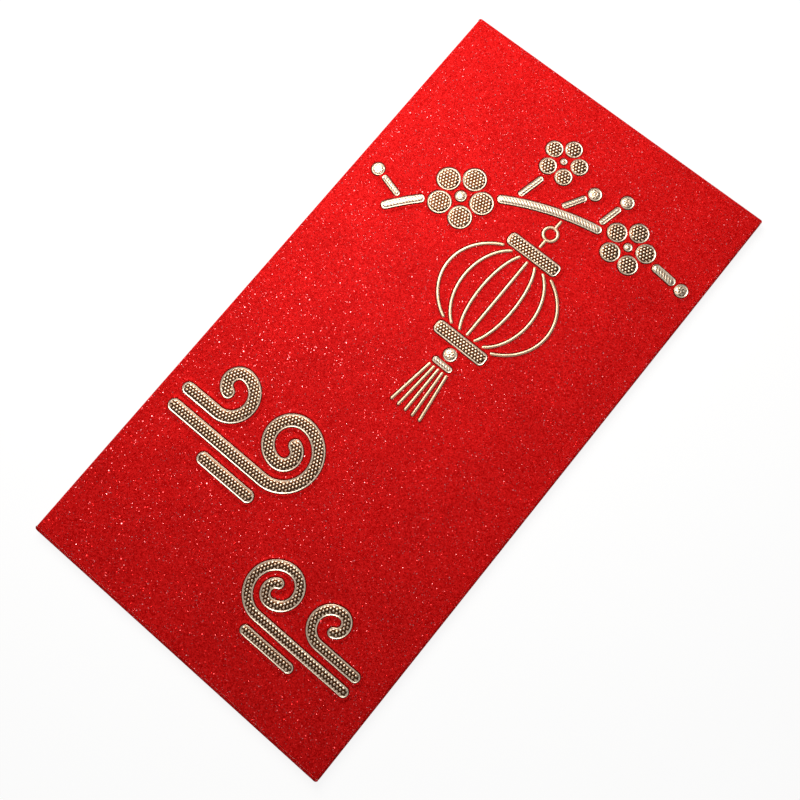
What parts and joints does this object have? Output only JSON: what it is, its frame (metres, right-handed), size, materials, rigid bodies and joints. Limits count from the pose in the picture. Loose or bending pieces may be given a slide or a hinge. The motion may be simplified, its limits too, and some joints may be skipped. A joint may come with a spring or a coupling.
{
  "type": "gift money envelope",
  "caption": "Tall flat gift-money envelope folded from glittered card, with glued side seams, a hinged closing flap at the back and gold foil in relief on the front.",
  "frame": {"origin": "on the floor under the middle of the envelope, which lies on its back", "axes": "+Z out of the front face, +Y along the envelope towards the flap fold, +X to the right as the front is read"},
  "size_m": [0.088, 0.169, 0.0029],
  "materials": {
    "card": "fine glitter",
    "glue": "dry glue film",
    "foil": "embossed gold foil"
  },
  "bodies": {
    "pocket": {"front_panel": "card", "back_panel": "card", "left_side_fold": "card", "right_side_fold": "card", "bottom_fold": "card", "flap_fold": "card", "left_glue_tab": "card", "right_glue_tab": "card", "left_glue_line": "glue", "right_glue_line": "glue", "foil_branch": "foil", "foil_buds": "foil", "foil_petals": "foil", "foil_flower_centres": "foil", "foil_hanging_cord": "foil", "foil_lantern_top_cap": "foil", "foil_lantern_ribs": "foil", "foil_lantern_bottom_cap": "foil", "foil_tassel_bead": "foil", "foil_tassel_binding": "foil", "foil_tassel_fringe": "foil", "foil_large_cloud": "foil", "foil_small_cloud": "foil"},
    "flap": {"closure_flap": "card"}
  },
  "joints": [
    {"name": "flap_crease", "type": "hinge", "parent": "pocket", "child": "flap", "pos_m": [0, 0.0832, 0.0013], "axis": [1, 0, 0], "range_deg": [0, 180], "deforming": ["flap_fold"]}
  ]
}
